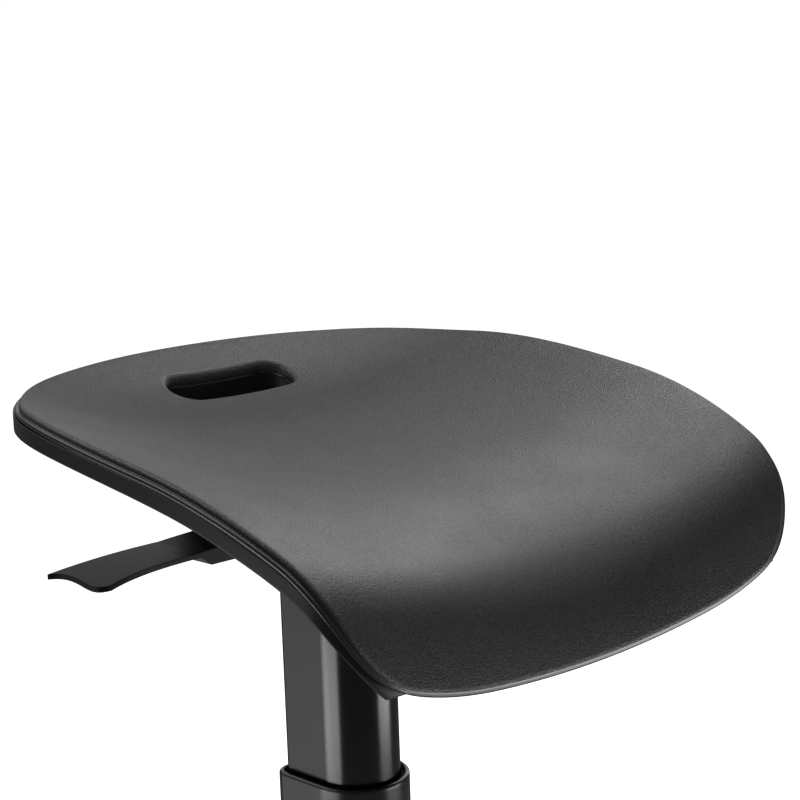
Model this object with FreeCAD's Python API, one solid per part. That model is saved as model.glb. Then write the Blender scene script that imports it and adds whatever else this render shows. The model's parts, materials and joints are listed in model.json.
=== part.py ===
# Sit-stand perching stool: a contoured seat with a hand slot, on a gas-sprung D-section telescopic column
# and a weighted round floor base. Millimetres, +Z up, sitter faces -Y, origin on the floor at the column.
import FreeCAD
import Part
import math
import os

os.makedirs("parts", exist_ok=True)

# Fits
press_gap = 0.05
run_gap = 0.05
slide_gap = 0.3
seat_gap = 0.3

# Seat plan outline: reaches from the column axis, then points as fractions of half width and reach
seat_half_w = 200.0
seat_front = 204.4
seat_back = 140.4
front_outline = (
    (0.0, 1.0), (0.375, 1.002), (0.667, 1.002), (0.916, 0.932), (0.956, 0.806), (0.988, 0.551), (1.0, 0.19),
)
back_outline = ((0.986, 0.042), (0.908, 0.437), (0.749, 0.713), (0.491, 0.895), (0.0, 1.0))

# Seat side profile on the centre line: a sloping run, a back that sweeps up, a shoulder and a front roll
seat_height = 709.6
run_angle = 9.2
run_back = 56.0
run_front = 71.0
back_r = 191.5
back_angle = 32.2
back_run = 26.0
shoulder_r = 360.0
shoulder_angle = 24.8
roll_r = 66.0
front_angle = 67.7
front_run = 36.0
seat_dish = 33.4
dish_margin = 15.0

# Seat pad
pad_edge = 8.0
pad_thick = 15.0
pad_bevel = 3.2
lip_gap = 1.0

# Hand slot
slot_y = 98.0
slot_len = 101.0
slot_wide = 33.0
liner_wall = 2.2
liner_below = 8.0
liner_skirt = 5.0

# Seat pan
pan_floor = 3.0
pan_wall = 3.0
pan_grow = 1.5
pan_back_shift = 3.0
pan_front_z = 628.0
rib_deep = 9.0
rib_wall = 3.0
rib_inset = 78.0
slot_margin = 16.0
plate_clear = 1.0
boss_r = 11.0
boss_x = 62.0
boss_y = 62.0

# Column, D-section: flat back and sides, round front
tube_w = 53.0
tube_back = 32.5
tube_nose = 6.0
tube_corner = 5.5
tube_wall = 2.5
tube_len = 410.0
tube_top = 640.0
sleeve_gap = 3.0
sleeve_wall = 2.6
sleeve_top = 496.0
sleeve_round = 1.8
guide_len = 40.0
guide_recess = 5.0
glide_len = 40.0
glide_floor = 4.0

# Column head, between the inner tube and the seat plate
web_thick = 6.0
web_half_y = 24.0
cheek_in = 18.0
cheek_wall = 6.0
cheek_top = 673.0
flange_thick = 5.0
flange_half_y = 50.0
head_half_x = 55.0
head_fillet = 2.0
spigot_deep = 28.0
head_bolt_x = 42.0
head_bolt_y = 38.0

# Seat plate
plate_thick = 3.0
plate_half = 76.0
plate_corner = 12.0
plate_lip = 8.0
plate_window_r = 15.0

# Screws and inserts
screw_d = 6.0
screw_head_d = 10.5
screw_head_h = 4.0
insert_d = 9.0
insert_len = 8.0

# Gas spring
cylinder_d = 28.0
cylinder_wall = 2.0
cylinder_len = 400.0
cylinder_end = 12.0
neck_d = 14.0
neck_up = 10.0
nut_across = 22.0
nut_h = 4.0
guide_bush_len = 20.0
rod_d = 10.0
piston_len = 15.0
lift_up = 60.0
lift_spare = 3.0
button_d = 6.0
button_top = 656.7
button_len = 22.0

# Release lever
pivot_x = 38.0
pivot_z = 661.0
pin_d = 6.0
pin_head_d = 9.0
pin_head_h = 2.0
bar_thick = 4.0
bar_wide = 16.0
bar_nose = 7.0
bar_tail = 110.0
pip_r = 4.0
spacer_d = 11.0
paddle_end = 197.0
paddle_thick = 3.0
paddle_curl = 2.0
paddle_half_w = 18.0
paddle_flare = 11.0
paddle_horn = 2.0
paddle_notch = 3.0
paddle_swell = 0.6
paddle_end_edge = ((-1.0, 0.6), (-1.0, 0.0), (0.0, -0.8))
paddle_front_edge = ((0.947, 1.0), (0.685, 0.2), (0.475, 0.0))
root_start = 84.0
root_len = 38.0
root_up = 4.5
root_down = 7.0
root_bevel = 7.0
rivet_places = (0.18, 0.5)
rivet_d = 4.0
rivet_head_d = 7.0
rivet_head_h = 1.4

# Floor base
ring_thick = 3.0
ring_lip = 8.0
ring_width = 22.0
ring_wall = 2.7
base_r = 200.0
cover_thick = 1.5
cover_edge = 9.0
cover_top = 43.5
cover_flat_r = 78.0
cover_swell = 0.72
weight_inset = 15.0
weight_thick = 17.0
weight_edge = 4.0
base_flange_r = 66.0
base_flange_thick = 8.0
socket_wall = 5.0
socket_top = 41.0
base_bolt_r = 55.0
base_bolt_d = 8.0
base_bolt_head_d = 13.0
base_bolt_head_h = 7.5
base_bolt_grip = 12.0
trim_wall = 9.0
trim_high = 9.0
trim_round = 5.0
anchor_thick = 8.0
rod_nut_across = 17.0
rod_nut_h = 6.0

# Derived levels
up = FreeCAD.Vector(0, 0, 1)
weight_top = ring_thick + weight_thick
weight_r = base_r - weight_inset
ring_in_r = base_r - ring_width
plate_top = cheek_top + plate_thick
tube_half = tube_w / 2
cylinder_foot = tube_top - cylinder_len
anchor_top = weight_top + anchor_thick
pad_floor = pad_thick + seat_gap
pan_under = pad_floor + pan_floor
pan_rim = pad_edge + lip_gap
plug_grow = pan_grow - pan_wall - seat_gap
web_top = tube_top + web_thick
tube_foot = tube_top - tube_len
sleeve_out = sleeve_gap + sleeve_wall
piston_foot = cylinder_foot + guide_bush_len + lift_up + lift_spare


def vec(x, y, z=0.0):
    return FreeCAD.Vector(x, y, z)


def cylinder(radius, low, high, x=0.0, y=0.0):
    return Part.makeCylinder(radius, high - low, vec(x, y, low))


def block(x0, x1, y0, y1, z0, z1):
    return Part.makeBox(x1 - x0, y1 - y0, z1 - z0, vec(x0, y0, z0))


def prism(wire, high):
    """Solid above a flat closed wire."""
    return Part.Face(wire).extrude(vec(0, 0, high))


def polygon(points):
    return Part.makePolygon(list(points) + [points[0]])


def join(shapes):
    """One shape out of touching pieces."""
    first = shapes[0]
    return first.fuse(shapes[1:]).removeSplitter() if len(shapes) > 1 else first


def hexagon(across, low, high):
    radius = across / math.sqrt(3)
    turns = [math.pi * i / 3 for i in range(6)]
    return prism(polygon([vec(radius * math.cos(a), radius * math.sin(a), low) for a in turns]), high - low)


def spline(points):
    """Smooth curve through a few points."""
    curve = Part.BSplineCurve()
    curve.interpolate(points)
    return curve.toShape()


def revolve(points):
    """Solid of revolution about the column axis from (radius, height) corners."""
    wire = polygon([vec(r, 0, z) for r, z in points])
    return Part.Face(wire).revolve(vec(0, 0, 0), up, 360)


def d_wire(grow, z):
    """D-section outline: flat back with rounded corners, flat sides and a half-round front as two arcs."""
    half = tube_half + grow
    back = tube_back + grow
    corner = tube_corner + grow
    swing = corner * (1 - math.sqrt(0.5))
    quarter = half * math.sqrt(0.5)
    left = [vec(-half, -tube_nose, z), vec(-half, back - corner, z), vec(-half + corner, back, z)]
    right = [vec(half, -tube_nose, z), vec(half, back - corner, z), vec(half - corner, back, z)]
    nose = vec(0, -tube_nose - half, z)
    edges = [
        Part.makeLine(left[0], left[1]),
        Part.Arc(left[1], vec(-half + swing, back - swing, z), left[2]).toShape(),
        Part.makeLine(left[2], right[2]),
        Part.Arc(right[2], vec(half - swing, back - swing, z), right[1]).toShape(),
        Part.makeLine(right[1], right[0]),
        Part.Arc(right[0], vec(quarter, -tube_nose - quarter, z), nose).toShape(),
        Part.Arc(nose, vec(-quarter, -tube_nose - quarter, z), left[0]).toShape(),
    ]
    return Part.Wire(edges)


def d_bar(grow, low, high):
    return prism(d_wire(grow, low), high - low)


def d_ring(outer, inner, low, high):
    return d_bar(outer, low, high).cut(d_bar(inner, low, high))


def stadium(length, width, low, high):
    """Upright prism with half-round ends, each end two arcs, over the slot's centre."""
    r = width / 2
    x = length / 2 - r
    s = r * math.sqrt(0.5)
    edges = [
        Part.makeLine(vec(-x, slot_y - r, low), vec(x, slot_y - r, low)),
        Part.Arc(vec(x, slot_y - r, low), vec(x + s, slot_y - s, low), vec(x + r, slot_y, low)).toShape(),
        Part.Arc(vec(x + r, slot_y, low), vec(x + s, slot_y + s, low), vec(x, slot_y + r, low)).toShape(),
        Part.makeLine(vec(x, slot_y + r, low), vec(-x, slot_y + r, low)),
        Part.Arc(vec(-x, slot_y + r, low), vec(-x - s, slot_y + s, low), vec(-x - r, slot_y, low)).toShape(),
        Part.Arc(vec(-x - r, slot_y, low), vec(-x - s, slot_y - s, low), vec(-x, slot_y - r, low)).toShape(),
    ]
    return prism(Part.Wire(edges), high - low)


def outline(grow, shift):
    """Closed seat outline in two mirrored halves, grown square to itself by grow and moved back by shift."""
    half = [vec(fx * seat_half_w, -fy * seat_front) for fx, fy in front_outline]
    half += [vec(fx * seat_half_w, fy * seat_back) for fx, fy in back_outline]
    ahead = vec(1, 0)
    curve = Part.BSplineCurve()
    curve.interpolate(half, InitialTangent=ahead, FinalTangent=-ahead)
    grown = []
    for p in half:
        along = curve.tangent(curve.parameter(p))[0]
        grown.append(vec(p.x + along.y * grow, p.y - along.x * grow + shift))
    right = Part.BSplineCurve()
    right.interpolate(grown, InitialTangent=ahead, FinalTangent=-ahead)
    left = Part.BSplineCurve()
    left.interpolate([vec(-p.x, p.y) for p in reversed(grown)], InitialTangent=-ahead, FinalTangent=ahead)
    return Part.Wire([right.toShape(), left.toShape()])


def plan(grow, shift=0.0):
    """Upright prism over the grown outline, through the whole depth of the seat."""
    wire = outline(grow, shift)
    wire.translate(vec(0, 0, seat_low))
    return prism(wire, seat_high - seat_low)


def stations():
    """Side profile of the seat top from the back to the front: points on its arcs and straights."""
    run = math.radians(run_angle)
    lean = math.radians(back_angle)
    sweep = lean - run
    y = run_back
    z = seat_height + run_back * math.tan(run)
    points = []
    for i in (3, 2, 1, 0):
        a = run + sweep * i / 3
        rise = back_r * (math.cos(run) - math.cos(a))
        points.append((y + back_r * (math.sin(a) - math.sin(run)), z + rise))
    y, z = points[0]
    points.insert(0, (y + back_run * math.cos(lean), z + back_run * math.sin(lean)))
    points.append((0.0, seat_height))
    y = -run_front
    z = seat_height - run_front * math.tan(run)
    points.append((y, z))
    for radius, first, last, steps in (
        (shoulder_r, run_angle, shoulder_angle, 3),
        (roll_r, shoulder_angle, front_angle, 4),
    ):
        start = math.radians(first)
        turn = math.radians(last) - start
        for i in range(1, steps + 1):
            a = start + turn * i / steps
            drop = radius * (math.cos(start) - math.cos(a))
            points.append((y - radius * (math.sin(a) - math.sin(start)), z - drop))
        y, z = points[-1]
    end = math.radians(front_angle)
    points.append((y - front_run * math.cos(end), z - front_run * math.sin(end)))
    return points


profile = stations()
seat_low = profile[-1][1] - 2 * seat_dish
seat_high = profile[0][1] + 2 * seat_dish


def below(drop):
    """Everything under the seat top lowered by drop: a loft of dished cross-sections along the profile."""
    span = seat_half_w + dish_margin
    rise = seat_dish * (span / seat_half_w) ** 2
    foot = seat_low - seat_dish
    sections = []
    for y, z in profile:
        left = vec(-span, y, z - drop + rise)
        right = vec(span, y, z - drop + rise)
        sections.append(Part.Wire([
            Part.Arc(left, vec(0, y, z - drop), right).toShape(),
            Part.makeLine(right, vec(span, y, foot)),
            Part.makeLine(vec(span, y, foot), vec(-span, y, foot)),
            Part.makeLine(vec(-span, y, foot), left),
        ]))
    return Part.makeLoft(sections, True, False)


def layer(tool, top, bottom):
    """The part of an upright tool between two lowered copies of the seat top."""
    return tool.common(below(top)).cut(below(bottom))


def top_face(shape):
    """The broad upper face of a seat layer."""
    broad = [f for f in shape.Faces if f.Area > seat_half_w * seat_half_w]
    return max(broad, key=lambda f: f.CenterOfMass.z)


def top_rim(shape):
    """The longest edge loop of the highest face."""
    face = max(shape.Faces, key=lambda f: f.CenterOfMass.z)
    return max(face.Wires, key=lambda w: w.Length)


def four(x, y):
    return [(sx * x, sy * y) for sx in (-1, 1) for sy in (-1, 1)]


def along_y(radius, x, z, y0, y1):
    return Part.makeCylinder(radius, y1 - y0, vec(x, y0, z), vec(0, 1, 0))


def screw(shank_d, tip, bearing, head_d, head_end):
    """Plain screw on the Z axis: shank from tip to the bearing face, head from there to head_end."""
    shank = cylinder(shank_d / 2, min(tip, bearing), max(tip, bearing))
    return shank.fuse(cylinder(head_d / 2, min(bearing, head_end), max(bearing, head_end))).removeSplitter()


def spread(shape, places):
    """Copies of one shape at each (x, y) place, as one group of solids."""
    copies = []
    for x, y in places:
        copy = shape.copy()
        copy.translate(vec(x, y))
        copies.append(copy)
    return Part.makeCompound(copies)


def save(name, shape):
    shape.exportStep("parts/" + name + ".step")


# Seat pad: a bevelled lip over the pan's rim and a plug inside the pan, with the slot through both
slot_hole = stadium(slot_len, slot_wide, seat_low, seat_high)
under_lip = below(pad_edge).cut(plan(plug_grow, pan_back_shift))
seat_pad = layer(plan(0), 0, pad_thick).cut(under_lip)
seat_pad = seat_pad.makeChamfer(pad_bevel, top_face(seat_pad).Edges).cut(slot_hole)
save("seat_pad", seat_pad)

# Ribs and bosses stand out of the hollow under the pan's floor
rib_half = rib_wall / 2
strips = []
for side in (-1, 1):
    x = side * boss_x
    y = side * boss_y
    strips.append(block(x - rib_half, x + rib_half, -seat_front, seat_back, seat_low, seat_high))
    strips.append(block(-seat_half_w, seat_half_w, y - rib_half, y + rib_half, seat_low, seat_high))
plate_room = plate_half + plate_clear
over_plate = block(-plate_room, plate_room, -plate_room, plate_room, seat_low, plate_top + plate_clear)
round_slot = stadium(slot_len + slot_margin, slot_wide + slot_margin, seat_low, seat_high)
ribs = strips[0].fuse(strips[1:]).common(plan(-rib_inset)).cut([over_plate, round_slot])
ribs = ribs.cut(below(pan_under + rib_deep))
bosses = spread(cylinder(boss_r, plate_top, seat_high), four(boss_x, boss_y))
hollow = below(pan_under).cut(ribs.Solids + bosses.Solids)

# Seat pan: rim wall and floor over that hollow, with a hole for the slot's liner and holes for the inserts
seat_pan = plan(pan_grow, pan_back_shift).common(below(pan_rim)).cut(hollow)
room = plan(pan_grow - pan_wall, pan_back_shift).cut(below(pad_floor))
front_cut = block(-seat_front, seat_front, -2 * seat_front, 0, seat_low, pan_front_z)
liner_len = slot_len - 2 * seat_gap
liner_wide = slot_wide - 2 * seat_gap
liner_hole = stadium(liner_len + 2 * press_gap, liner_wide + 2 * press_gap, seat_low, seat_high)
insert_hole = cylinder(insert_d / 2 + press_gap, plate_top, plate_top + insert_len)
seat_pan = seat_pan.cut([room, front_cut, liner_hole] + spread(insert_hole, four(boss_x, boss_y)).Solids)
save("seat_pan", seat_pan)
liner = layer(stadium(liner_len, liner_wide, seat_low, seat_high), liner_below, pan_under + liner_skirt)
liner_bore = stadium(liner_len - 2 * liner_wall, liner_wide - 2 * liner_wall, seat_low, seat_high)
save("slot_liner", liner.cut(liner_bore))

# Threaded inserts in the bosses and the screws that hold the plate to them
insert = cylinder(insert_d / 2, plate_top, plate_top + insert_len).cut(
    cylinder(screw_d / 2 + press_gap, plate_top, plate_top + insert_len)
)
save("pan_inserts", spread(insert, four(boss_x, boss_y)))
pan_bolt_tip = plate_top + insert_len - lip_gap
pan_bolt = screw(screw_d, pan_bolt_tip, cheek_top, screw_head_d, cheek_top - screw_head_h)
save("pan_bolts", spread(pan_bolt, four(boss_x, boss_y)))

# Seat plate: pressed steel, folded down along its front and back edges
plate = block(-plate_half, plate_half, -plate_half, plate_half, cheek_top, plate_top)
plate = plate.makeFillet(plate_corner, [e for e in plate.Edges if e.BoundBox.ZLength > plate_thick / 2])
lip_x = plate_half - plate_corner
for y0 in (-plate_half, plate_half - plate_thick):
    plate = plate.fuse(block(-lip_x, lip_x, y0, y0 + plate_thick, cheek_top - plate_lip, cheek_top))
clearance = screw_d / 2 + slide_gap
plate_bolts_at = four(boss_x, boss_y) + four(head_bolt_x, head_bolt_y)
holes = spread(cylinder(clearance, cheek_top, plate_top), plate_bolts_at)
windows = spread(cylinder(plate_window_r, cheek_top, plate_top), [(0, 0), (-boss_x, 0), (boss_x, 0)])
save("seat_plate", plate.removeSplitter().cut(holes.Solids + windows.Solids))
head_bolt_tip = cheek_top - flange_thick - lip_gap
head_bolt = screw(screw_d, head_bolt_tip, plate_top, screw_head_d, plate_top + screw_head_h)
save("head_bolts", spread(head_bolt, four(head_bolt_x, head_bolt_y)))

# Column head: a spigot in the inner tube, a web over its end and two flanged cheeks for the lever
cheek_out = cheek_in + cheek_wall
flange_low = cheek_top - flange_thick
head_parts = [
    d_bar(-tube_wall - press_gap, tube_top - spigot_deep, tube_top),
    d_bar(0, tube_top, web_top),
    block(-head_half_x, head_half_x, -web_half_y, web_half_y, tube_top, web_top),
]
for side in (-1, 1):
    near, far = sorted((side * cheek_in, side * cheek_out))
    head_parts.append(block(-head_half_x, head_half_x, near, far, web_top, cheek_top))
    near, far = sorted((side * cheek_in, side * flange_half_y))
    head_parts.append(block(-head_half_x, head_half_x, near, far, flange_low, cheek_top))
column_head = join(head_parts)
corners = [
    e for e in column_head.Edges
    if e.BoundBox.XLength > head_half_x
    and abs(abs(e.CenterOfMass.y) - cheek_out) < press_gap
    and abs(e.CenterOfMass.z - flange_low) < press_gap
]
column_head = column_head.makeFillet(head_fillet, corners)
column_head = column_head.cut([
    cylinder(cylinder_d / 2 + press_gap, tube_top - spigot_deep, tube_top),
    cylinder(neck_d / 2 + press_gap, tube_top, web_top),
    along_y(pin_d / 2 + press_gap, -pivot_x, pivot_z, -cheek_out, cheek_out),
] + spread(cylinder(screw_d / 2 + press_gap, flange_low, cheek_top), four(head_bolt_x, head_bolt_y)).Solids)
save("column_head", column_head)

# Inner tube and the glide shoe on its foot
save("inner_tube", d_ring(0, -tube_wall, tube_foot, tube_top))
shoe_out = sleeve_gap - slide_gap
glide = d_ring(shoe_out, press_gap, tube_foot, tube_foot + glide_len)
glide = glide.fuse(d_ring(shoe_out, -tube_wall, tube_foot - glide_floor, tube_foot)).removeSplitter()
save("lower_glide", glide)

# Gas spring: pressure cylinder hung from the head by its neck, rod guide in its mouth, button in its neck
bore_r = cylinder_d / 2 - cylinder_wall
cap_floor = tube_top - cylinder_end
neck_top = tube_top + neck_up
gas_cylinder = join([
    cylinder(cylinder_d / 2, cylinder_foot, tube_top),
    cylinder(neck_d / 2, tube_top, neck_top),
]).cut([
    cylinder(bore_r, cylinder_foot, cap_floor),
    cylinder(button_d / 2 + run_gap, cap_floor + lip_gap, neck_top),
])
save("gas_cylinder", gas_cylinder)
nut_top = web_top + nut_h
nut_hole = cylinder(neck_d / 2 + press_gap, web_top, nut_top)
save("cylinder_nut", hexagon(nut_across, web_top, nut_top).cut(nut_hole))
bush_top = cylinder_foot + guide_bush_len
rod_hole = cylinder(rod_d / 2 + run_gap, cylinder_foot, bush_top)
save("rod_guide", cylinder(bore_r - press_gap, cylinder_foot, bush_top).cut(rod_hole))
save("valve_button", cylinder(button_d / 2, button_top - button_len, button_top))

# Rod, piston, foot plate and nut, held by the base
piston_top = piston_foot + piston_len
save("piston_rod", cylinder(rod_d / 2, weight_top, piston_top))
rod_fit = cylinder(rod_d / 2 + press_gap, weight_top, piston_top)
save("gas_piston", cylinder(bore_r - run_gap, piston_foot, piston_top).cut(rod_fit))
save("rod_anchor", d_bar(sleeve_gap - press_gap, weight_top, anchor_top).cut(rod_fit))
save("rod_nut", hexagon(rod_nut_across, anchor_top, anchor_top + rod_nut_h).cut(rod_fit))

# Release lever: pin and spacers on the cheeks, bar with a pressing pip, paddle riveted to the bar
pin = along_y(pin_d / 2, -pivot_x, pivot_z, -cheek_out, cheek_out)
for y0 in (-cheek_out - pin_head_h, cheek_out):
    pin = pin.fuse(along_y(pin_head_d / 2, -pivot_x, pivot_z, y0, y0 + pin_head_h))
save("lever_pin", pin.removeSplitter())
spacers = []
bar_half = bar_wide / 2
for side in (-1, 1):
    near, far = sorted((side * (bar_half + slide_gap), side * cheek_in))
    sleeve = along_y(spacer_d / 2, -pivot_x, pivot_z, near, far)
    spacers.append(sleeve.cut(along_y(pin_d / 2 + press_gap, -pivot_x, pivot_z, near, far)))
save("lever_spacers", Part.makeCompound(spacers))
bar_low = pivot_z - bar_thick / 2
bar_high = pivot_z + bar_thick / 2
bar = block(-bar_tail, bar_nose, -bar_half, bar_half, bar_low, bar_high)
pip_top = block(-pip_r, pip_r, -bar_half, bar_half, pivot_z, pivot_z + pip_r)
pip = along_y(pip_r, 0, pivot_z, -bar_half, bar_half).cut(pip_top)
eye = along_y(spacer_d / 2, -pivot_x, pivot_z, -bar_half, bar_half)
bar = join([bar, pip, eye])
bar = bar.cut(along_y(pin_d / 2 + run_gap, -pivot_x, pivot_z, -bar_half, bar_half))
rivets_at = [(-root_start - root_len * f, 0) for f in rivet_places]
root_low = pivot_z - root_down
root_high = pivot_z + root_up
rivet_hole = cylinder(rivet_d / 2 + press_gap, root_low, root_high)
rivet_holes = spread(rivet_hole, rivets_at).Solids
save("lever_bar", bar.cut(rivet_holes))

root_end = root_start + root_len
blade_low = pivot_z - paddle_thick / 2
blade_high = pivot_z + paddle_thick / 2
tip_low = blade_low - paddle_curl
tip_high = blade_high - paddle_curl
paddle_far = paddle_end + 2 * paddle_horn
blade_mid = (paddle_far + root_end) / 2
side_y = -2 * paddle_half_w - paddle_flare


def side_on(x, z):
    return vec(-x, side_y, z)


def bowed(x0, z0, x1, z1):
    """Arc between two side-view points that droops by the paddle's curl towards its outer end."""
    mid_z = (3 * max(z0, z1) + min(z0, z1)) / 4
    return Part.Arc(side_on(x0, z0), side_on(blade_mid, mid_z), side_on(x1, z1)).toShape()


paddle_side = Part.Wire([
    Part.makeLine(side_on(root_start, root_low), side_on(root_end - root_bevel, root_low)),
    Part.makeLine(side_on(root_end - root_bevel, root_low), side_on(root_end, blade_low)),
    bowed(root_end, blade_low, paddle_far, tip_low),
    Part.makeLine(side_on(paddle_far, tip_low), side_on(paddle_far, tip_high)),
    bowed(paddle_far, tip_high, root_end, blade_high),
    Part.makeLine(side_on(root_end, blade_high), side_on(root_start, root_high)),
    Part.makeLine(side_on(root_start, root_high), side_on(root_start, root_low)),
])
blade = Part.Face(paddle_side).extrude(vec(0, -2 * side_y, 0))

# Plan of the paddle: nearly straight back edge, wavy outer end with a small horn, front edge that flares out
paddle_len = paddle_end - root_start
foot_z = root_low - paddle_thick


def plan_point(reach, y):
    """Point of the paddle's plan at a share of its length and a distance across it."""
    return vec(-root_start - reach * paddle_len, y, foot_z)


inner_back = vec(-root_start + paddle_horn, paddle_half_w, foot_z)
inner_front = vec(-root_start + paddle_horn, -paddle_half_w, foot_z)
horn = vec(-paddle_end - paddle_horn, paddle_half_w, foot_z)
front = [plan_point(reach, -paddle_half_w - flare * paddle_flare) for reach, flare in paddle_front_edge]
end = [vec(-paddle_end - inset * paddle_notch, y * paddle_half_w, foot_z) for inset, y in paddle_end_edge]
heel = vec(-paddle_end, front[0].y + paddle_notch, foot_z)
back_edge = spline([inner_back, plan_point(paddle_swell, paddle_half_w + 2 * paddle_horn), horn])
end_edge = spline([horn] + end + [heel, front[0]])
front_edge = spline(front + [inner_front])
paddle_outline = Part.Wire([back_edge, end_edge, front_edge, Part.makeLine(inner_front, inner_back)])
paddle = prism(paddle_outline, root_up + root_down + 2 * paddle_thick).common(blade)
side_play = bar_half + press_gap
socket = block(-bar_tail - press_gap, 0, -side_play, side_play, bar_low - press_gap, bar_high + press_gap)
save("lever_paddle", paddle.cut([socket] + rivet_holes))
rivet = join([
    cylinder(rivet_d / 2, root_low, root_high),
    cylinder(rivet_head_d / 2, root_low - rivet_head_h, root_low),
])
proud = block(-root_end, 0, -bar_half, bar_half, bar_low, root_high).cut(blade)
save("lever_rivets", spread(rivet, rivets_at).cut(proud))

# Outer sleeve with a rounded mouth, and the guide liner set a little below it
outer_sleeve = d_ring(sleeve_out, sleeve_gap, weight_top, sleeve_top)
save("outer_sleeve", outer_sleeve.makeFillet(sleeve_round, top_rim(outer_sleeve).Edges))
guide_top = sleeve_top - guide_recess
save("upper_guide", d_ring(sleeve_gap - press_gap, slide_gap, guide_top - guide_len, guide_top))

# Floor base: rubber ring, cast weight, flange with a D-socket, spun cover and a trim ring round the column
lip_r = base_r + seat_gap
save("floor_ring", revolve([
    (ring_in_r, 0), (lip_r + ring_wall, 0), (lip_r + ring_wall, ring_lip),
    (lip_r, ring_lip), (lip_r, ring_thick), (ring_in_r, ring_thick),
]))
bolts_at = [(base_bolt_r, 0), (0, base_bolt_r), (-base_bolt_r, 0), (0, -base_bolt_r)]
tapped = cylinder(base_bolt_d / 2 + press_gap, weight_top - base_bolt_grip, weight_top)
save("base_weight", revolve([
    (0, ring_thick), (weight_r - weight_edge, ring_thick), (weight_r, ring_thick + weight_edge),
    (weight_r, weight_top - weight_edge), (weight_r - 3 * weight_edge, weight_top), (0, weight_top),
]).cut(spread(tapped, bolts_at).Solids))
flange_top = weight_top + base_flange_thick
flange = cylinder(base_flange_r, weight_top, flange_top)
flange = join([flange, d_bar(sleeve_out + socket_wall, weight_top, socket_top)])
bolt_holes = spread(cylinder(base_bolt_d / 2 + slide_gap, weight_top, flange_top), bolts_at).Solids
save("column_flange", flange.cut([d_bar(sleeve_out + press_gap, weight_top, socket_top)] + bolt_holes))
bolt_tip = weight_top - base_bolt_grip + lip_gap
base_bolt = screw(base_bolt_d, bolt_tip, flange_top, base_bolt_head_d, flange_top + base_bolt_head_h)
save("flange_bolts", spread(base_bolt, bolts_at))


def dome(skin):
    """Closed half-section of the cover's dome, skin in from its outside."""
    rim_r = base_r - skin
    crown = cover_top - skin
    edge = ring_thick + cover_edge
    mid_r = (base_r + cover_flat_r) / 2
    mid_z = edge + cover_swell * (cover_top - edge) - skin
    outer = [vec(0, 0, ring_thick), vec(rim_r, 0, ring_thick), vec(rim_r, 0, edge)]
    corners = outer + [vec(cover_flat_r, 0, crown), vec(0, 0, crown)]
    curve = Part.Arc(corners[2], vec(mid_r, 0, mid_z), corners[3]).toShape()
    lines = [Part.makeLine(corners[i], corners[(i + 1) % 5]) for i in (0, 1, 3, 4)]
    wire = Part.Wire([lines[0], lines[1], curve, lines[2], lines[3]])
    return Part.Face(wire).revolve(vec(0, 0, 0), up, 360)


cover = dome(0).cut(dome(cover_thick)).cut(d_bar(sleeve_out + socket_wall + lip_gap, ring_thick, cover_top))
save("base_cover", cover)
trim = d_ring(sleeve_out + trim_wall, sleeve_out + slide_gap, cover_top, cover_top + trim_high)
save("column_trim", trim.makeFillet(trim_round, top_rim(trim).Edges))
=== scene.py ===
import json
import math

import bpy
import numpy as np
from mathutils import Matrix, Vector


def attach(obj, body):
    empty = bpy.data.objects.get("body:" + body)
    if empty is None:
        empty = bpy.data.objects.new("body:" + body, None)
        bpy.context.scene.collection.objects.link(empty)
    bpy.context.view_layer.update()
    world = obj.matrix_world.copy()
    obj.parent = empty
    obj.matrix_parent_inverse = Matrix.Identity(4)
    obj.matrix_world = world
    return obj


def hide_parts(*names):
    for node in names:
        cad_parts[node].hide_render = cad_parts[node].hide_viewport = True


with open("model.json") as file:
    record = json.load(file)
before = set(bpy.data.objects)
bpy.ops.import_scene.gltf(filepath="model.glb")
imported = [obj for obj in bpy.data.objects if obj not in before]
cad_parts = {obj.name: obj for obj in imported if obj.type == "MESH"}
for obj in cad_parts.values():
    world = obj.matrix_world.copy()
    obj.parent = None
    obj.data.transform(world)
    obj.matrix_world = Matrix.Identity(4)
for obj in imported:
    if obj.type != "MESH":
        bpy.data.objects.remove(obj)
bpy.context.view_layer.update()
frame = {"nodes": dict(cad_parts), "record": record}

scene = bpy.context.scene
MM = 0.001

# Seat form, in millimetres and degrees: the plan outline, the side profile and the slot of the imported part
HALF_W, FRONT, BACK = 200.0, 204.4, 140.4
FRONT_OUTLINE = ((0.0, 1.0), (0.375, 1.002), (0.667, 1.002), (0.916, 0.932), (0.956, 0.806), (0.988, 0.551),
                 (1.0, 0.19))
BACK_OUTLINE = ((0.986, 0.042), (0.908, 0.437), (0.749, 0.713), (0.491, 0.895), (0.0, 1.0))
SEAT_Z, RUN_ANGLE, RUN_BACK, RUN_FRONT = 709.6, 9.2, 56.0, 71.0
BACK_R, BACK_ANGLE, BACK_RUN = 191.5, 32.2, 30.0
SHOULDER_R, SHOULDER_ANGLE = 360.0, 24.8
ROLL_R, FRONT_ANGLE, FRONT_RUN = 66.0, 67.7, 40.0
DISH, DISH_SPAN = 33.4, 215.0
SLOT_Y, SLOT_HALF, SLOT_R = 98.0, 34.0, 16.5
PAD_THICK, PLUG_GROW, PLUG_SHIFT = 14.2, -1.8, 3.0

# Slot mouth: its rounded edge, the band next to it, and the lap over the liner with its small lower corner
MOUTH_IN, MOUTH_DEEP, MOUTH_BAND = 3.2, 5.0, 1.0
SLOT_LAP, LAP_DEEP, LAP_CORNER = 2.9, 7.5, 0.3
# Pad top: its fall towards the rim, and the shallow hollow in the middle of the front roll
CROWN_W, CROWN_DROP = 34.0, 1.0
BELL_Y, BELL_LONG, BELL_WIDE, BELL_DROP = -186.0, 28.0, 85.0, 5.0
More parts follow.
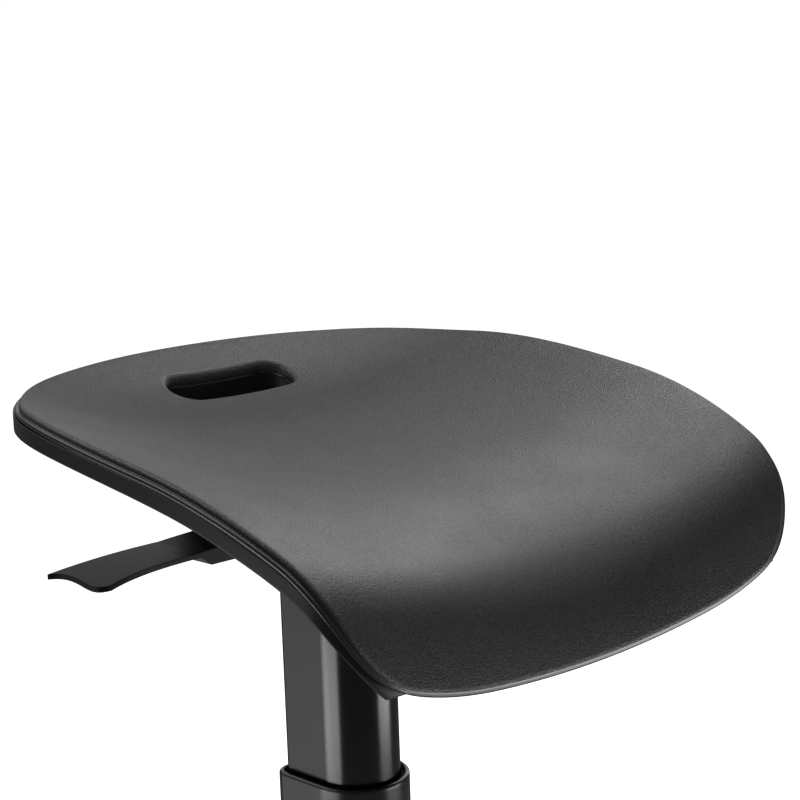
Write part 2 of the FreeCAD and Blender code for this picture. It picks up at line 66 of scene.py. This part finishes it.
# Rim section, as distances inwards and upwards with a corner radius: a bead along the sides and the back, and
# a thin lip at the front, which is drawn back in the middle; the two blend over the front corners
EDGE_BAND, LIP_DEEP, LIP_BACK = 9.0, 8.0, 3.0
BEAD_END, RIM_BLEND, SMOOTH_FROM = 188.0, 40.0, -3.0
SIDE_RIM = ((EDGE_BAND, 0.0, 0), (0.5, 0.0, 2.8), (0.4, -4.0, 0.5), (-1.9, -4.3, 1.8), (-1.9, -LIP_DEEP, 1.7),
            (1.2, -LIP_DEEP, 0), (3.4, -LIP_DEEP, 0))
FRONT_RIM = ((EDGE_BAND, 0.0, 0), (-4.6, 0.0, 1.2), (-4.5, -2.0, 0.5), (-4.3, -3.2, 0.5), (-3.9, -4.4, 0.6),
             (-2.0, -5.2, 0), (3.4, -LIP_DEEP, 0))
# Pad underside: how far the plug's foot is drawn in, and the clearance round the slot
PLUG_TAPER, SLOT_CLEAR = 4.0, 0.5
# How finely the curves and the pad are divided
SPAN_STEPS, ARC_STEPS, ROLL_STEPS, CORNER_STEPS = 200, 60, 90, 7
RIM_POINTS, WALL_RINGS, MOUTH_RINGS, TOP_RINGS, UNDER_RINGS = 640, 5, 15, 56, 16


def unit(v):
    """Vectors along the last axis, scaled to length one."""
    return v / np.linalg.norm(v, axis=-1, keepdims=True)


def clamped_spline(points, first, last, per_span):
    """Cubic curve through points on a chord-length scale, with the given unit tangents at its two ends."""
    p = np.asarray(points, float)
    h = np.linalg.norm(np.diff(p, axis=0), axis=1)
    n = len(p)
    a = np.zeros((n, n))
    rhs = np.zeros((n, 2))
    a[0, 0] = a[-1, -1] = 1.0
    rhs[0], rhs[-1] = first, last
    i = np.arange(1, n - 1)
    a[i, i - 1] = h[i]
    a[i, i] = 2 * (h[i - 1] + h[i])
    a[i, i + 1] = h[i - 1]
    slope = np.diff(p, axis=0) / h[:, None]
    rhs[1:-1] = 3 * (h[i][:, None] * slope[i - 1] + h[i - 1][:, None] * slope[i])
    m = np.linalg.solve(a, rhs)
    t = np.linspace(0, 1, per_span, endpoint=False)[None, :, None]
    p0, p1, m0, m1, hh = p[:-1, None], p[1:, None], m[:-1, None], m[1:, None], h[:, None, None]
    curve = ((2 * t**3 - 3 * t**2 + 1) * p0 + (t**3 - 2 * t**2 + t) * hh * m0
             + (3 * t**2 - 2 * t**3) * p1 + (t**3 - t**2) * hh * m1)
    return curve.reshape(-1, 2)


def seat_outline(count):
    """Seat outline: the right half's curve and its mirror image, count points evenly along it,
    counter-clockwise from the front's middle."""
    half = [(fx * HALF_W, -fy * FRONT) for fx, fy in FRONT_OUTLINE]
    half += [(fx * HALF_W, fy * BACK) for fx, fy in BACK_OUTLINE]
    right = clamped_spline(half, (1, 0), (-1, 0), SPAN_STEPS)
    left = right[::-1] * (-1, 1)
    loop = np.vstack([right, [[0, BACK]], left[:-1], right[:1]])
    run = np.concatenate([[0], np.cumsum(np.linalg.norm(np.diff(loop, axis=0), axis=1))])
    at = np.linspace(0, run[-1], count, endpoint=False)
    return np.column_stack([np.interp(at, run, loop[:, k]) for k in (0, 1)])


def side_profile():
    """Side profile of the seat top on the centre line, front to back: a straight end, the roll's arc, the
    shoulder's arc, a straight run, the back's arc and a straight end, each tangent to the next."""
    run = math.radians(RUN_ANGLE)
    z_back = SEAT_Z + RUN_BACK * math.tan(run)
    z_front = SEAT_Z - RUN_FRONT * math.tan(run)
    a = np.radians(np.linspace(RUN_ANGLE, BACK_ANGLE, ARC_STEPS))
    back = np.column_stack([RUN_BACK + BACK_R * (np.sin(a) - np.sin(run)),
                            z_back + BACK_R * (np.cos(run) - np.cos(a))])
    a = np.radians(np.linspace(RUN_ANGLE, SHOULDER_ANGLE, ARC_STEPS))
    shoulder = np.column_stack([-RUN_FRONT - SHOULDER_R * (np.sin(a) - np.sin(run)),
                                z_front - SHOULDER_R * (np.cos(run) - np.cos(a))])
    s = math.radians(SHOULDER_ANGLE)
    a = np.radians(np.linspace(SHOULDER_ANGLE, FRONT_ANGLE, ROLL_STEPS))[1:]
    roll = shoulder[-1] - ROLL_R * np.column_stack([np.sin(a) - np.sin(s), np.cos(s) - np.cos(a)])
    e = math.radians(FRONT_ANGLE)
    end = roll[-1:] - FRONT_RUN * np.array([[math.cos(e), math.sin(e)]])
    b = math.radians(BACK_ANGLE)
    tail = back[-1:] + BACK_RUN * np.array([[math.cos(b), math.sin(b)]])
    return np.vstack([end, roll[::-1], shoulder[::-1], back, tail])


PROFILE = side_profile()
RISE = DISH * (DISH_SPAN / HALF_W) ** 2
DISH_R = (DISH_SPAN**2 + RISE**2) / (2 * RISE)


def seat_top(xy):
    """Height of the seat's top face: the side profile at y plus a circular dish across x."""
    return np.interp(xy[..., 1], PROFILE[:, 0], PROFILE[:, 1]) + DISH_R - np.sqrt(DISH_R**2 - xy[..., 0] ** 2)


def on_top(xy, drop):
    """Points at xy that lie drop below the seat's top face."""
    return np.column_stack([xy, seat_top(xy) - drop])


def seat_normal(xy):
    """Unit normal of the seat's top face, from small steps in x and y."""
    step = 1.5
    dx = (seat_top(xy + (step, 0)) - seat_top(xy - (step, 0))) / (2 * step)
    dy = (seat_top(xy + (0, step)) - seat_top(xy - (0, step))) / (2 * step)
    return unit(np.stack([-dx, -dy, np.ones_like(dx)], -1))


def rounded(corners):
    """Section through (x, z) corners, each given with the radius of the arc that rounds it, or 0 if sharp."""
    out = []
    for k, (x, z, r) in enumerate(corners):
        p = np.array([x, z], float)
        if r == 0:
            out.append(p[None])
            continue
        u = unit(np.array(corners[k - 1][:2], float) - p)
        v = unit(np.array(corners[k + 1][:2], float) - p)
        turn = math.pi - math.acos(np.clip(u @ v, -1, 1))
        reach = r * math.tan(turn / 2)
        mid = p + unit(u + v) * r / math.cos(turn / 2)
        start = p + u * reach - mid
        side = unit(p + v * reach - mid - start * math.cos(turn)) * r
        a = np.linspace(0, turn, CORNER_STEPS)[:, None]
        out.append(mid + np.cos(a) * start + np.sin(a) * side)
    return np.vstack(out)


def ring_mesh(name, rings):
    """Closed surface out of rings of points, ring after ring and back to the first: a grid of quads that
    closes both ways. Its faces point outwards when the rings run counter-clockwise and go over the top from
    the inside out."""
    m, n = rings.shape[:2]
    row, col = np.meshgrid(np.arange(m), np.arange(n), indexing="ij")
    nxt, side = (row + 1) % m, (col + 1) % n
    quads = np.stack([row * n + col, nxt * n + col, nxt * n + side, row * n + side], -1).reshape(-1, 4)
    mesh = bpy.data.meshes.new(name)
    mesh.from_pydata((rings.reshape(-1, 3) * MM).tolist(), [], quads.tolist())
    mesh.polygons.foreach_set("use_smooth", np.ones(len(quads), bool))
    mesh.update()
    obj = bpy.data.objects.new(name, mesh)
    scene.collection.objects.link(obj)
    return obj


def crown(rim, xy):
    """Fall of the pad's top: a parabola over the last part of the way to the rim, and a shallow bell-shaped
    hollow in the middle of the front roll."""
    near = np.linalg.norm(rim - xy, axis=1)
    bell = np.exp(-(xy[:, 0] / BELL_WIDE) ** 2 - ((xy[:, 1] - BELL_Y) / BELL_LONG) ** 2)
    return CROWN_DROP * np.clip(1 - near / CROWN_W, 0, 1) ** 2 + BELL_DROP * bell


def slot_edge(rim):
    """The slot's edge, two half circles and two straights, where the ray from its centre to each rim point
    meets it, with the outward direction there."""
    ray = unit(rim - (0, SLOT_Y))
    flat = SLOT_R / np.maximum(np.abs(ray[:, 1]), 1e-9)
    on_flat = np.abs(ray[:, 0] * flat) <= SLOT_HALF
    c = SLOT_HALF * np.abs(ray[:, 0])
    reach = np.where(on_flat, flat, c + np.sqrt(np.maximum(c**2 - SLOT_HALF**2 + SLOT_R**2, 0)))
    edge = ray * reach[:, None]
    core = np.column_stack([np.clip(edge[:, 0], -SLOT_HALF, SLOT_HALF), np.zeros(len(rim))])
    return edge + (0, SLOT_Y), unit(edge - core)


def seat_pad():
    """Moulded pad: rings from the slot's foot up its wall, over the slot's rounded mouth, across the dished
    top to the rim, round the rim's edge and bead, under the lip, down the plug and back along the underside
    to the slot."""
    rim = seat_outline(RIM_POINTS)
    along = unit(np.roll(rim, -1, 0) - np.roll(rim, 1, 0))
    out = np.column_stack([along[:, 1], -along[:, 0]])
    slot, slot_out = slot_edge(rim)

    # slot wall, lapped over the liner, and the mouth's quarter ellipse
    mouth = slot - slot_out * SLOT_LAP
    rings = [on_top(slot, PAD_THICK), on_top(slot, LAP_DEEP), on_top(mouth + slot_out * LAP_CORNER, LAP_DEEP)]
    rings += [on_top(mouth, d) for d in np.linspace(LAP_DEEP - LAP_CORNER, MOUTH_DEEP, WALL_RINGS)]
    grained_from = len(rings) - 1
    for a in np.linspace(0, math.pi / 2, MOUTH_RINGS)[1:]:
        xy = mouth + slot_out * MOUTH_IN * (1 - math.cos(a))
        rings.append(on_top(xy, MOUTH_DEEP * (1 - math.sin(a)) + crown(rim, xy)))

    # top, on straight lines in plan from the mouth to the rim's band
    first = mouth + slot_out * (MOUTH_IN + MOUTH_BAND)
    last = rim - out * EDGE_BAND
    for s in np.linspace(0, 1, TOP_RINGS):
        xy = first + (last - first) * s
        rings.append(on_top(xy, crown(rim, xy)))

    # rim section swept along the outline, no deeper than the pan's edge allows
    normal = seat_normal(rim)
    tangent = unit(np.roll(on_top(rim, 0), -1, 0) - np.roll(on_top(rim, 0), 1, 0))
    inward = unit(np.cross(normal, tangent))
    plain = np.clip((BEAD_END - np.abs(rim[:, :1])) / RIM_BLEND, 0, 1) * (rim[:, 1:] < 0)
    drawn_back = LIP_BACK * plain * np.exp(-(rim[:, :1] / BELL_WIDE) ** 2)
    for (xs, zs), (xf, zf) in zip(rounded(SIDE_RIM)[1:], rounded(FRONT_RIM)[1:]):
        if zs > SMOOTH_FROM:
            smooth_from = len(rings)
        x = xs + (xf - xs) * plain + drawn_back
        z = (zs + (zf - zs) * plain)[:, 0]
        drop = crown(rim, rim - out * np.maximum(x, 0.0)) - z
        deepest = np.where(x[:, 0] < 0, LIP_DEEP + CROWN_DROP, LIP_DEEP)
        rings.append(on_top(rim + inward[:, :2] * x, np.minimum(drop, deepest)))

    # plug and underside
    lip = rings[-1]
    plug = rim + out * PLUG_GROW + (0, PLUG_SHIFT)
    foot = on_top(plug - out * PLUG_TAPER, PAD_THICK)
    rings += [lip + (foot - lip) * s for s in (0.5, 1.0)]
    start, end = foot[:, :2], slot + slot_out * SLOT_CLEAR
    rings += [on_top(start + (end - start) * s, PAD_THICK) for s in np.linspace(0, 1, UNDER_RINGS)[1:]]

    pad = ring_mesh("seat_pad_skin", np.array(rings))
    ring_of = np.repeat(np.arange(len(rings)), RIM_POINTS)
    smooth = (ring_of >= smooth_from) | (ring_of < grained_from)
    pad.data.polygons.foreach_set("material_index", smooth.astype(np.int32))
    return pad


def linear(code):
    """Linear colour of an sRGB hex code."""
    c = np.array([int(code[i:i + 2], 16) / 255 for i in (1, 3, 5)])
    c = np.where(c <= 0.04045, c / 12.92, ((c + 0.055) / 1.055) ** 2.4)
    return (*c.tolist(), 1.0)


def empty_tree(owner):
    """Node tree of a new material or world, emptied."""
    owner.use_nodes = True
    owner.node_tree.nodes.clear()
    return owner.node_tree


def add(tree, kind, props=None, **sockets):
    """Add a node, set its properties and its sockets, and link each socket that is given another node's
    output. A socket goes by its name, with underscores for spaces, or by its number as i0, i1 and so on."""
    node = tree.nodes.new("ShaderNode" + kind)
    for key, value in (props or {}).items():
        setattr(node, key, value)
    for key, value in sockets.items():
        socket = node.inputs[int(key[1:])] if key[1:].isdigit() else node.inputs[key.replace("_", " ")]
        if isinstance(value, bpy.types.NodeSocket):
            tree.links.new(value, socket)
        else:
            socket.default_value = value
    return node


# Sizes of the patterns, in millimetres, and the range that most values of a noise pattern lie in
PATCH, SKIN_PATCH, METAL_PATCH = 60.0, 45.0, 12.0
PEBBLE, WANDER, PEBBLE_DEEP = 0.75, 0.7, 0.18
LOW, HIGH = 0.3, 0.7


def grained(name, dark, light, rough, grain_mm, bump_mm, spread=0.06, specular=0.5, edge_mm=None):
    """Moulded or coated surface: two close shades in soft patches, fine grain in bump and roughness, and,
    where an edge radius is given, softened edges."""
    mat = bpy.data.materials.new(name)
    tree = empty_tree(mat)
    place = add(tree, "TexCoord").outputs["Object"]
    patch = add(tree, "TexNoise", Vector=place, Scale=1 / (PATCH * MM), Detail=2.0).outputs["Fac"]
    fine = add(tree, "TexNoise", Vector=place, Scale=1 / (grain_mm * MM), Detail=1.0).outputs["Fac"]
    share = add(tree, "MapRange", Value=patch, i1=LOW, i2=HIGH).outputs[0]
    colour = add(tree, "Mix", {"data_type": "RGBA"}, i0=share, i6=linear(dark), i7=linear(light)).outputs[2]
    gloss = add(tree, "MapRange", Value=fine, i1=LOW, i2=HIGH, i3=rough - spread,
                i4=rough + spread).outputs[0]
    relief = {"Height": fine, "Strength": 1.0, "Distance": bump_mm * MM}
    if edge_mm:
        relief["Normal"] = add(tree, "Bevel", {"samples": 6}, Radius=edge_mm * MM).outputs[0]
    bump = add(tree, "Bump", **relief)
    skin = add(tree, "BsdfPrincipled", Base_Color=colour, Roughness=gloss, Normal=bump.outputs[0],
               Specular_IOR_Level=specular)
    add(tree, "OutputMaterial", Surface=skin.outputs[0])
    return mat


def pad_skin():
    """Integral-skin polyurethane, moulded with a fine pebble grain: a dark grey satin with a sandy sparkle in
    its highlights. The pebble is drawn about as wide as a pixel of the photograph's view so that it shows."""
    mat = bpy.data.materials.new("polyurethane_integral_skin")
    tree = empty_tree(mat)
    place = add(tree, "TexCoord").outputs["Object"]
    pebble = add(tree, "TexVoronoi", {"feature": "SMOOTH_F1"}, Vector=place, Scale=1 / (PEBBLE * MM),
                 Smoothness=0.3)
    wander = add(tree, "TexNoise", Vector=place, Scale=1 / (WANDER * MM), Detail=1.0).outputs["Fac"]
    patch = add(tree, "TexNoise", Vector=place, Scale=1 / (SKIN_PATCH * MM), Detail=3.0).outputs["Fac"]
    height = add(tree, "Math", {"operation": "MULTIPLY_ADD"}, i0=wander, i1=0.5,
                 i2=pebble.outputs["Distance"]).outputs[0]
    share = add(tree, "MapRange", Value=height, i1=0.3, i2=0.85).outputs[0]
    colour = add(tree, "Mix", {"data_type": "RGBA"}, i0=share, i6=linear("#2b2b2c"),
                 i7=linear("#1c1c1d")).outputs[2]
    gloss = add(tree, "MapRange", Value=patch, i1=LOW, i2=HIGH, i3=0.4, i4=0.46).outputs[0]
    sheen = add(tree, "MapRange", Value=wander, i1=LOW, i2=HIGH, i3=0.22, i4=0.78).outputs[0]
    bump = add(tree, "Bump", {"invert": True}, Height=height, Strength=1.0, Distance=PEBBLE_DEEP * MM)
    skin = add(tree, "BsdfPrincipled", Base_Color=colour, Roughness=gloss, Normal=bump.outputs[0],
               Specular_IOR_Level=sheen)
    add(tree, "OutputMaterial", Surface=skin.outputs[0])
    return mat


def metal(name, dark, light, rough, grain_mm, bump_mm):
    """Bare metal: two close shades in soft patches, fine tool marks in bump and roughness."""
    mat = bpy.data.materials.new(name)
    tree = empty_tree(mat)
    place = add(tree, "TexCoord").outputs["Object"]
    patch = add(tree, "TexNoise", Vector=place, Scale=1 / (METAL_PATCH * MM), Detail=3.0).outputs["Fac"]
    fine = add(tree, "TexNoise", Vector=place, Scale=1 / (grain_mm * MM), Detail=2.0).outputs["Fac"]
    share = add(tree, "MapRange", Value=patch, i1=LOW, i2=HIGH).outputs[0]
    colour = add(tree, "Mix", {"data_type": "RGBA"}, i0=share, i6=linear(dark), i7=linear(light)).outputs[2]
    gloss = add(tree, "MapRange", Value=fine, i1=LOW, i2=HIGH, i3=rough - 0.05, i4=rough + 0.08).outputs[0]
    bump = add(tree, "Bump", Height=fine, Strength=1.0, Distance=bump_mm * MM)
    skin = add(tree, "BsdfPrincipled", Base_Color=colour, Roughness=gloss, Normal=bump.outputs[0],
               Metallic=1.0)
    add(tree, "OutputMaterial", Surface=skin.outputs[0])
    return mat


# The pad, in its grained skin; its trimmed edge is smooth and shines a little more
skin = pad_skin()
trimmed = grained("polyurethane_smooth_trimmed_edge", "#1b1b1c", "#202021", 0.27, 0.8, 0.001, spread=0.03)
pad = seat_pad()
pad.data.materials.append(skin)
pad.data.materials.append(trimmed)
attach(pad, "seat")
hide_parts("seat_pad")

# Moulded polypropylene with a fine etched texture: black, with a broad dull shine
pan = grained("polypropylene_moulded_fine_texture", "#0e0e0f", "#131314", 0.36, 0.5, 0.01,
              specular=0.4, edge_mm=1.2)
# Semi-gloss powder coat: black, with clear soft-edged highlights; the sleeve's rolled mouth has a softer edge
coat = grained("powder_coat_semi_gloss", "#0b0b0c", "#0e0e0f", 0.2, 0.7, 0.004, spread=0.03)
sleeve = grained("powder_coat_semi_gloss_rolled_edge", "#0b0b0c", "#0e0e0f", 0.24, 0.7, 0.004,
                 spread=0.03, edge_mm=2.2)
# Glass-filled nylon, moulded satin: black and nearly without highlights
nylon = grained("nylon_glass_filled_satin", "#0c0c0d", "#101011", 0.45, 0.35, 0.015,
                specular=0.12, edge_mm=0.8)
# Turned acetal: smooth, with a waxy shine; drawn dark grey rather than black, a painted lightening that makes
# the shaded gap at the sleeve's mouth read less deep
acetal = grained("acetal_turned_painted_fill", "#1c1c1c", "#242424", 0.45, 0.6, 0.006)
# Moulded rubber: dark and matt
rubber = grained("rubber_moulded_matt", "#141414", "#1b1b1b", 0.7, 0.4, 0.02)
# Painted grey iron: dark, with the casting's roughness under the paint
iron = grained("grey_iron_painted", "#1c1c1c", "#242424", 0.55, 1.2, 0.05)
# Zinc-plated steel: light grey and softly bright
zinc = metal("steel_zinc_plated", "#8f9092", "#a5a6a6", 0.32, 0.6, 0.006)
# Ground and hard-chromed steel: a near mirror
chrome = metal("steel_ground_hard_chromed", "#b9babb", "#c8c8c8", 0.12, 0.3, 0.001)
# Die-cast aluminium: dull grey with a fine cast skin
cast = metal("aluminium_die_cast", "#8a8a8b", "#9a9a9a", 0.5, 0.8, 0.02)
# Turned brass: warm yellow with fine tool marks
brass = metal("brass_turned", "#a98a4a", "#b99a58", 0.3, 0.4, 0.004)

FINISH = {
    "pad_foam": skin, "pan_plastic": pan, "insert_brass": brass, "screw_steel": zinc, "plate_steel": coat,
    "head_aluminium": cast, "tube_steel": coat, "glide_plastic": acetal, "cylinder_steel": coat,
    "rod_steel": chrome, "lever_plastic": nylon, "flange_iron": iron, "cover_steel": coat,
    "ring_rubber": rubber,
}
for part in frame["record"]["subparts"]:
    node = frame["nodes"][part["node"]]
    node.data.materials.clear()
    node.data.materials.append(sleeve if part["node"] == "outer_sleeve" else FINISH[part["material_slot"]])

# Camera at the photograph's angle
CAMERA_AT = Vector((-0.7361, -0.8032, 0.9154))
AZIMUTH, ELEVATION, ROLL = -44.51, 9.81, -1.98
LENS_MM, SENSOR_MM = 83.01, 36.0
lens = bpy.data.cameras.new("photo_camera")
lens.lens, lens.sensor_width = LENS_MM, SENSOR_MM
camera = bpy.data.objects.new("photo_camera", lens)
turn = (Matrix.Rotation(math.radians(AZIMUTH), 4, "Z") @ Matrix.Rotation(math.radians(90 - ELEVATION), 4, "X")
        @ Matrix.Rotation(math.radians(ROLL), 4, "Z"))
camera.matrix_world = Matrix.Translation(CAMERA_AT) @ turn
scene.collection.objects.link(camera)
scene.camera = camera
scene.view_settings.view_transform = "Standard"


def soft_light(name, place, target, size, power):
    """Rectangular soft light at place, turned to face target."""
    data = bpy.data.lights.new(name, "AREA")
    data.shape = "RECTANGLE"
    data.size, data.size_y = size
    data.energy = power
    obj = bpy.data.objects.new(name, data)
    at = Vector(place)
    facing = (at - Vector(target)).to_track_quat("Z", "Y").to_matrix().to_4x4()
    obj.matrix_world = Matrix.Translation(at) @ facing
    scene.collection.objects.link(obj)
    obj.visible_camera = False


# Broad lights above, to the right of and behind the seat
soft_light("ceiling", (0.5, -0.05, 2.2), (0, 0, 0.7), (1.5, 1.5), 18)
soft_light("strip_right", (1.48, 0.52, 1.45), (0, -0.1, 0.72), (0.5, 1.5), 8)
soft_light("panel_back", (0.8, 1.6, 1.4), (0, 0, 0.7), (1.8, 1.6), 0.8)
soft_light("panel_back_low", (1.07, 1.19, 0.95), (0, 0, 0.7), (1.2, 0.6), 2.0)
# High lights behind and to the left
soft_light("strip_back_high", (-0.35, 1.3, 1.75), (0, 0, 0.7), (1.4, 0.8), 5)
soft_light("strip_left_high", (-0.75, 0.5, 1.75), (0, 0, 0.7), (0.8, 0.8), 6)
# Low lights beside the column
soft_light("box_front_low", (0.95, -1.17, 0.2), (0, 0, 0.5), (1.0, 0.4), 9)
soft_light("box_left_low", (-0.77, 0.24, 0.27), (0, 0, 0.4), (0.6, 0.2), 1.9)
soft_light("card_back_left", (-0.57, 0.6, 0.25), (0, 0, 0.4), (0.6, 0.35), 0.6)

# Floor of white paper: the camera sees light and shadow on it near the stool and plain white further out, and
# reflections see a white sheet that fades with distance; distances in metres
FLOOR_HALF = 30.0
FADE_FROM, FADE_TO, RISE_FROM, RISE_TO = 0.6, 1.2, 0.35, 0.95
floor_mat = bpy.data.materials.new("floor_paper_white")
tree = empty_tree(floor_mat)
path = add(tree, "LightPath")
place = add(tree, "TexCoord").outputs["Object"]
away = add(tree, "VectorMath", {"operation": "LENGTH"}, i0=place).outputs["Value"]
paper = add(tree, "BsdfDiffuse", Color=linear("#f2f2f2")).outputs[0]
fade = add(tree, "MapRange", Value=away, i1=FADE_FROM, i2=FADE_TO, i3=1.0, i4=0.1).outputs[0]
sheet = add(tree, "Emission", Strength=fade).outputs[0]
rise = add(tree, "MapRange", Value=away, i1=RISE_FROM, i2=RISE_TO, i3=0.2, i4=1.0).outputs[0]
lift = add(tree, "Emission", Strength=rise).outputs[0]
lit = add(tree, "AddShader", i0=paper, i1=lift).outputs[0]
bounced = add(tree, "MixShader", i0=path.outputs["Is Glossy Ray"], i1=paper, i2=sheet).outputs[0]
shown = add(tree, "MixShader", i0=path.outputs["Is Camera Ray"], i1=bounced, i2=lit).outputs[0]
add(tree, "OutputMaterial", Surface=shown)
corners = [(x * FLOOR_HALF, y * FLOOR_HALF, 0) for x, y in ((-1, -1), (1, -1), (1, 1), (-1, 1))]
mesh = bpy.data.meshes.new("floor")
mesh.from_pydata(corners, [], [(0, 1, 2, 3)])
mesh.materials.append(floor_mat)
floor = bpy.data.objects.new("floor", mesh)
scene.collection.objects.link(floor)

# Surroundings: white to the camera and dim to the object
world = bpy.data.worlds.new("studio")
scene.world = world
tree = empty_tree(world)
path = add(tree, "LightPath")
white = add(tree, "Background", Color=(1, 1, 1, 1), Strength=1.0).outputs[0]
dim = add(tree, "Background", Color=(1, 1, 1, 1), Strength=0.12).outputs[0]
studio = add(tree, "MixShader", i0=path.outputs["Is Camera Ray"], i1=dim, i2=white).outputs[0]
add(tree, "OutputWorld", Surface=studio)
